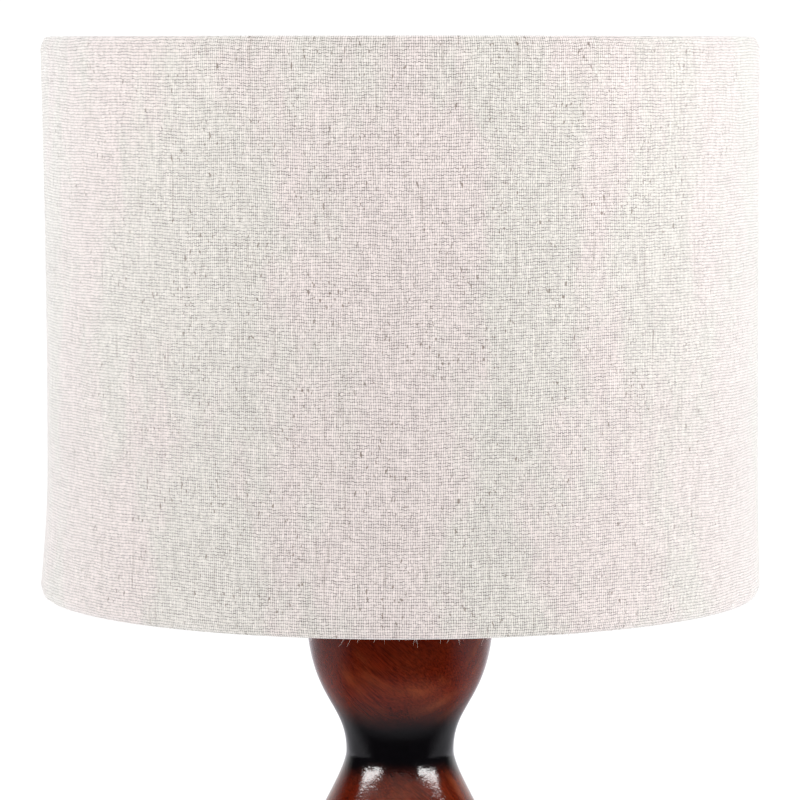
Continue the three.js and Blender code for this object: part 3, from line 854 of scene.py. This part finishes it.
def armPiece(number, angle):
    bottom, _, fitterRadius = span("fitter_ring")
    ringRadius, ringHeight = ringLine("lower_ring")
    level = bottom + carrier["wire"]
    start = Vector((fitterRadius - 0.4, 0, level))
    bend = Vector((fitterRadius + carrier["flat"], 0, level))
    down = (Vector((ringRadius, 0, ringHeight)) - bend).normalized()
    end = Vector((ringRadius, 0, ringHeight)) - down * (carrier["wire"] * 0.9)
    bendStart = bend - Vector((carrier["bend"], 0, 0))
    bendEnd = bend + down * carrier["bend"]
    bent = interpolate_bezier(bendStart, bendStart.lerp(bend, 0.66), bendEnd.lerp(bend, 0.66), bendEnd, 12)
    bm = tubes([[p * mm for p in [start, *bent, end]]], carrier["wire"] * mm, "arm")
    for at, size in zip((start, end - down), carrier["welds"]):
        bead = bmesh.ops.create_icosphere(bm, subdivisions=3, radius=mm)["verts"]
        bmesh.ops.scale(bm, verts=bead, vec=size)
        bmesh.ops.translate(bm, verts=bead, vec=at * mm)
    bmesh.ops.rotate(bm, verts=bm.verts, matrix=Matrix.Rotation(angle, 3, "Z"))
    addPiece(f"fitterArm{number}", bm, "wire", "shade", [f"fitter_arm_{number}"])


fitterRingPiece()
armAngles = [math.radians(90 + 120 * i) for i in range(3)]
for number, angle in enumerate(armAngles, 1):
    armPiece(number, angle)
print("shade carrier made")

# ---------- shade ----------
shade = {
    "fabric": 0.6,
    "liner": 0.7,
    "gap": 0.3,
    "hem": 12,  # turned in over the rings and glued to the liner
    "pullLeft": 3.2,  # how far the wall is drawn in between the rings, at -X
    "pullRight": 0.9,  # and at +X
    "pullPlace": 0.23,  # where it is drawn in most, as a share of the height
    "overlap": 14,  # the seam at the back
    "lapEase": 6,  # length over which the upper end rises onto the lower one
    "slit": 7,
    "aroundSteps": 330,
}
shadeBottom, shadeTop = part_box("fabric_cover")[0].z / mm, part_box("fabric_cover")[1].z / mm
lowerRing, lowerRingZ = ringLine("lower_ring")
upperRing, upperRingZ = ringLine("upper_ring")
wallInset = shade["fabric"] + shade["liner"] + 2 * shade["gap"] + carrier["wire"]
hemRadius = carrier["wire"] + shade["gap"] + shade["fabric"] / 2
seamAngle = math.radians(90)


def pullIn(share, angle):
    place = shade["pullPlace"]
    fromBottom = math.sin(math.pi / 2 * min(share / place, 1))
    fromTop = math.cos(math.pi / 2 * max((share - place) / (1 - place), 0))
    side = (1 + math.cos(angle)) / 2
    most = shade["pullLeft"] + (shade["pullRight"] - shade["pullLeft"]) * side
    return most * fromBottom * fromTop


def wallPoint(share, depth, angle):  # radius and height on the wall, at a depth under its outside
    bottomRadius, topRadius = lowerRing + wallInset, upperRing + wallInset
    radius = bottomRadius + (topRadius - bottomRadius) * share - pullIn(share, angle) - depth
    return Vector((radius, shadeBottom + share * (shadeTop - shadeBottom)))


def fabricLine(angle):  # the fabric's middle line from one hem's edge, up the outside, to the other's
    height = shadeTop - shadeBottom
    inWall = shade["fabric"] * 1.5 + 2 * shade["gap"] + shade["liner"]
    hem = shade["hem"] / height
    clear = (3 * carrier["wire"] + shade["fabric"] + 2 * shade["gap"]) / height
    wall = (2 * carrier["wire"] + shade["fabric"] + 2 * shade["gap"]) / height
    roll = (0.16 * math.pi, 1.33 * math.pi)
    line = [wallPoint(hem + (clear - hem) * k / 3, inWall, angle) for k in range(4)]
    for k in range(13):
        a = -roll[1] + (roll[1] - roll[0]) * k / 12
        line.append(Vector((lowerRing + hemRadius * math.cos(a), lowerRingZ + hemRadius * math.sin(a))))
    line += [wallPoint(wall + (1 - 2 * wall) * k / 64, shade["fabric"] / 2, angle) for k in range(65)]
    for k in range(13):
        a = roll[0] + (roll[1] - roll[0]) * k / 12
        line.append(Vector((upperRing + hemRadius * math.cos(a), upperRingZ + hemRadius * math.sin(a))))
    line += [wallPoint(1 - clear + (clear - hem) * k / 3, inWall, angle) for k in range(4)]
    return line


def lineLengths(line):
    lengths = [0.0]
    for before, after in zip(line, line[1:]):
        lengths.append(lengths[-1] + (after - before).length)
    return lengths


def wrapSheet(lineAt, overlap, thickness):  # a flat sheet wrapped round, its ends lapped at the back
    rows = lineLengths(lineAt(0.0))
    steps = shade["aroundSteps"]
    girth = 2 * math.pi * (lowerRing + upperRing + 2 * wallInset) / 2
    width = girth + overlap
    bm = bmesh.new()
    bmesh.ops.create_grid(bm, x_segments=steps, y_segments=len(rows) - 1, size=0.5)
    bm.verts.ensure_lookup_table()
    flat = {}
    lines = {}
    for v in bm.verts:
        column = round((v.co.x + 0.5) * steps)
        row = round((v.co.y + 0.5) * (len(rows) - 1))
        along = width * column / steps
        angle = seamAngle + along / girth * 2 * math.pi
        if column not in lines:
            lines[column] = lineAt(angle)
        radius, height = lines[column][row]
        lapped = min(1.0, max(0.0, (along - girth + shade["lapEase"]) / shade["lapEase"])) if overlap else 0.0
        radius += lapped * thickness * 1.15
        flat[v.index] = (along * mm, rows[row] * mm)
        v.co = (radius * math.cos(angle) * mm, radius * math.sin(angle) * mm, height * mm)
    uv = bm.loops.layers.uv.new("cloth")
    for face in bm.faces:
        for loop in face.loops:
            loop[uv].uv = flat[loop.vert.index]
    return bm, (width * mm, rows[-1] * mm)


def addThickness(piece, thickness):
    wall = piece.modifiers.new("thickness", "SOLIDIFY")
    wall.thickness = thickness * mm
    wall.offset = 0
    wall.use_even_offset = True


def fabricPiece():
    bm, flat = wrapSheet(fabricLine, shade["overlap"], shade["fabric"])
    hemBottom = lowerRingZ - carrier["wire"] / 2
    hemTop = shadeBottom + shade["hem"] + 2
    gone = []
    for face in bm.faces:  # slits in the lower hem, one for each arm
        centre = face.calc_center_median()
        radius = math.hypot(centre.x, centre.y) / mm
        inHem = radius < lowerRing + carrier["wire"] * 0.6 and hemBottom < centre.z / mm < hemTop
        angle = math.atan2(centre.y, centre.x)
        off = min(abs(math.remainder(angle - arm, 2 * math.pi)) for arm in armAngles) * radius
        if inHem and off < shade["slit"] / 2:
            gone.append(face)
    bmesh.ops.delete(bm, geom=gone, context="FACES")
    piece = addPiece("linenCover", bm, "linen", "shade", ["fabric_cover"], 80)
    addThickness(piece, shade["fabric"] * 0.8)
    fuzzPiece()
    return flat


def linerLine(angle):
    wall = (2 * carrier["wire"] + shade["fabric"] + 2 * shade["gap"]) / (shadeTop - shadeBottom)
    depth = shade["fabric"] + shade["gap"] + shade["liner"] / 2
    return [wallPoint(wall + (1 - 2 * wall) * k / 40, depth, angle) for k in range(41)]


def linerPiece():
    bm, _ = wrapSheet(linerLine, 0.0, 0.0)
    bmesh.ops.remove_doubles(bm, verts=bm.verts, dist=1e-5)
    piece = addPiece("linerSheet", bm, "liner", "shade", ["shade_liner"], 80)
    addThickness(piece, shade["liner"] * 0.7)


fuzz = {"count": 420, "shortest": 0.7, "longest": 4.2, "thickness": 0.09, "seed": 7}


def fuzzPiece():  # loose fibre ends standing out of the lower hem
    dice = random.Random(fuzz["seed"])
    reach = hemRadius + shade["fabric"] / 2 - 0.15
    lines = []
    for _ in range(fuzz["count"]):
        angle = dice.uniform(0, 2 * math.pi)
        tilt = math.radians(dice.uniform(-125, -35))
        out = Vector((math.cos(angle), math.sin(angle), 0))
        side = Vector((-out.y, out.x, 0))
        place = out * (lowerRing + reach * math.cos(tilt))
        place.z = lowerRingZ + reach * math.sin(tilt)
        length = fuzz["shortest"] + (fuzz["longest"] - fuzz["shortest"]) * dice.random() ** 3
        heading = out * math.cos(tilt) * 0.6 + Vector((0, 0, -1)) + side * dice.uniform(-0.9, 0.9)
        points = [place]
        for _ in range(4):
            sway = side * dice.uniform(-0.35, 0.35)
            heading = (heading.normalized() + Vector((0, 0, -0.15)) + sway).normalized()
            points.append(points[-1] + heading * (length / 4))
        lines.append([p * mm for p in points])
    bm = tubes(lines, fuzz["thickness"] / 2 * mm, "fuzz", 0, True)
    return addPiece("hemFuzz", bm, "fibre", "shade")


fabricFlat = fabricPiece()
linerPiece()
print("shade made, fabric cut to", [round(x, 4) for x in fabricFlat])


# ---------- bulb ----------
bulbShape = {
    "threadFrom": 2.4,  # heights on the cap
    "threadTo": 13.6,
    "pitch": 3.6,
    "depth": 1.1,
    "neckFoot": 13.6,  # radius where the neck stands on the cap
    "globeWall": 1.0,
}


def bulbCapPiece():
    bottom, top, radius = span("bulb_screw_cap")
    threadFrom, threadTo = bottom + bulbShape["threadFrom"], bottom + bulbShape["threadTo"]
    root = radius - bulbShape["depth"]
    outline = rounded([(0, bottom, 0), (radius - 2.4, bottom, 0.6), (root, bottom + 2.2, 0)])
    outline += threadPoints(radius, threadFrom, threadTo, bulbShape["pitch"], bulbShape["depth"])
    upper = [(root, bottom + 13.8, 0), (radius - 0.6, bottom + 15, 0.5), (radius, top, 0.2), (0, top, 0)]
    outline += rounded(upper)
    addPiece("bulbCap", turn(outline), "capMetal", "bulb", ["bulb_screw_cap"])


def bulbNeckPiece():
    bottom, top, radius = span("bulb_neck")
    foot = bulbShape["neckFoot"]
    rise = top - bottom
    start = (foot, bottom + 0.4)
    leave = (foot + 1.5, bottom + rise / 2)
    arrive = (radius - 5, top - rise / 3)
    outline = [Vector((0, bottom)), Vector((foot - 0.4, bottom)), Vector(start)]
    outline += curveTo(start, leave, arrive, (radius, top - 0.8), 20)
    outline += [Vector((radius, top)), Vector((radius - 0.6, top)), Vector((0, top))]
    addPiece("bulbNeck", turn(outline), "bulbPlastic", "bulb", ["bulb_neck"])


def bulbGlobePiece():
    bottom, top, radius = span("bulb_globe")
    centre = top - radius
    innerRadius = radius - bulbShape["globeWall"]
    mouth = math.asin((centre - bottom) / radius)
    innerMouth = math.asin((centre - bottom) / innerRadius)
    outer = [(-mouth + (math.pi / 2 + mouth) * k / 36, radius) for k in range(37)]
    inner = [(math.pi / 2 - (math.pi / 2 + innerMouth) * k / 24, innerRadius) for k in range(25)]
    outside = [Vector((r * math.cos(a), centre + r * math.sin(a))) for a, r in outer]
    inside = [Vector((r * math.cos(a), centre + r * math.sin(a))) for a, r in inner]
    outside[-1].x = 0
    inside[0].x = 0
    bm = turn(outside)
    other = turn(inside)
    bmesh.ops.reverse_faces(other, faces=other.faces)
    hollow = bpy.data.meshes.new("hollow")
    other.to_mesh(hollow)
    other.free()
    bm.from_mesh(hollow)
    bpy.data.meshes.remove(hollow)
    bmesh.ops.bridge_loops(bm, edges=[e for e in bm.edges if e.is_boundary])
    addPiece("bulbGlobe", bm, "opal", "bulb", ["bulb_globe"])


bulbCapPiece()
bulbNeckPiece()
bulbGlobePiece()
print("bulb made")

# CAD pieces that stay, with their finishes
kept = {
    "zinc": [
        "threaded_rod",
        "bottom_washer",
        "bottom_nut",
        "cap_lock_screw",
        "terminal_screw_right",
        "bulb_tip",
    ],
    "brass": ["lock_nut", "terminal_screw_left"],
    "contactBrass": ["centre_contact", "screw_shell"],
    "ceramic": ["holder_body"],
    "wire": ["lower_ring", "upper_ring"],
    "blackPlastic": ["bulb_insulator"],
}
for finish, names in kept.items():
    for name in names:
        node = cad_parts[name]
        node.data.materials.clear()
        node.data.materials.append(finishes[finish])

# ---------- studio ----------
studio = {
    "sky": 1.10,  # white all round
    "floorRadius": 12.0,
    "wallRadius": 3.0,  # cloth round the lamp that only reflections see: black in front, white behind
    "wallHeight": 4.0,
    "wallOpening": 12,  # degrees left open on each side of straight behind
    "tableNear": 0.36,  # brightness of the table under the lamp, as reflections see it
    "tableSide": 0.45,
    "tableBehind": 0.55,
    "tableTint": (0.94, 0.94, 1.0),
    "softbox": {"azimuth": 60, "elevation": 26, "away": 1.4, "size": (0.88, 0.20), "watts": 11, "aim": 0.212},
    "key": {"place": (1.1, -1.7, 1.7), "size": (0.9, 0.9), "watts": 5.5, "aim": 0.3},
    "edge": {"place": (1.7, 0.15, 0.6), "size": (1.0, 1.0), "watts": (7.0, 14.0), "aim": 0.38},
}


def areaLight(name, place, light, watts, diffuse=True, glossy=True):
    target = (0, 0, light["aim"])
    data = bpy.data.lights.new(name, "AREA")
    data.shape = "RECTANGLE"
    data.size, data.size_y = light["size"]
    data.energy = watts
    lamp = bpy.data.objects.new(name, data)
    lamp.location = place
    lamp.rotation_euler = (Vector(target) - Vector(place)).to_track_quat("-Z", "Y").to_euler()
    scene.collection.objects.link(lamp)
    lamp.visible_camera = False
    lamp.visible_diffuse = diffuse
    lamp.visible_glossy = glossy


def stagePiece(name, bm, material, onlyReflected=True):
    mesh = bpy.data.meshes.new(name)
    bm.to_mesh(mesh)
    bm.free()
    made = bpy.data.objects.new(name, mesh)
    scene.collection.objects.link(made)
    mesh.materials.append(material)
    if onlyReflected:
        made.visible_camera = False
        made.visible_diffuse = False
        made.visible_shadow = False
        made.visible_transmission = False


def glowing(paint, glow, tint=(1, 1, 1)):
    shine = paint.mix(glow, color(0, 0, 0), color(*tint))
    return paint.done(
        baseColor=color(0, 0, 0),
        roughness=1.0,
        specular=0.0,
        emission=shine,
        emissionStrength=1.0,
    )


def studioRoom():
    world = bpy.data.worlds.new("studio")
    world.use_nodes = True
    background = world.node_tree.nodes["Background"]
    background.inputs["Color"].default_value = color(1, 1, 1)
    background.inputs["Strength"].default_value = studio["sky"]
    scene.world = world

    bm = bmesh.new()
    bmesh.ops.create_circle(bm, cap_ends=True, segments=96, radius=studio["floorRadius"])
    bmesh.ops.translate(bm, verts=bm.verts, vec=(0, 0, cadLow.z))
    pale = Paint("floor").done(baseColor=color(0.95, 0.95, 0.95), roughness=0.9, specular=0.0)
    stagePiece("floor", bm, pale, onlyReflected=False)

    bm = bmesh.new()
    low = bm.verts.new((0, studio["wallRadius"], 0))
    high = bm.verts.new((0, studio["wallRadius"], studio["wallHeight"]))
    upright = bm.edges.new((low, high))
    opening = math.radians(studio["wallOpening"])
    bmesh.ops.rotate(bm, verts=bm.verts, matrix=Matrix.Rotation(opening, 3, "Z"))
    swept = 2 * (math.pi - opening)
    bmesh.ops.spin(bm, geom=[low, high, upright], cent=(0, 0, 0), axis=(0, 0, 1), angle=swept, steps=48)
    paint = Paint("wall")
    _, y, _ = paint.split(paint.place())
    stagePiece("wall", bm, glowing(paint, y.ramp(1.1, 2.8)))

    bm = bmesh.new()
    bmesh.ops.create_circle(bm, cap_ends=True, segments=96, radius=studio["wallRadius"])
    bmesh.ops.translate(bm, verts=bm.verts, vec=(0, 0, cadLow.z + 0.0005))
    paint = Paint("table")
    x, y, _ = paint.split(paint.place())
    away = (x * x + y * y) ** 0.5
    # painted light on the table as reflections see it: lit close under the lamp, a painted shadow of the
    # shade round that, brighter again to the sides and behind
    near = (1.0 - away.ramp(0.12, 0.42)) * studio["tableNear"]
    side = (y + abs(x) * 0.6).ramp(0.0, 0.55) * studio["tableSide"]
    behind = y.ramp(0.25, 1.5) * studio["tableBehind"]
    stagePiece("table", bm, glowing(paint, near.atLeast(side) + behind, studio["tableTint"]))


studioRoom()
soft, key, edge = studio["softbox"], studio["key"], studio["edge"]
elevation, azimuth = math.radians(soft["elevation"]), math.radians(soft["azimuth"])
across = soft["away"] * math.cos(elevation)
softX, softY = across * math.sin(azimuth), -across * math.cos(azimuth)
softZ = soft["aim"] + soft["away"] * math.sin(elevation)
for i, side in enumerate((-1, 1)):  # each light stands on both sides
    areaLight(f"softbox{i}", (side * softX, softY, softZ), soft, soft["watts"], diffuse=False)
    x, y, z = key["place"]
    areaLight(f"key{i}", (side * x, y, z), key, key["watts"], glossy=False)
    x, y, z = edge["place"]
    areaLight(f"edge{i}", (side * x, y, z), edge, edge["watts"][i], glossy=False)
print("studio made")
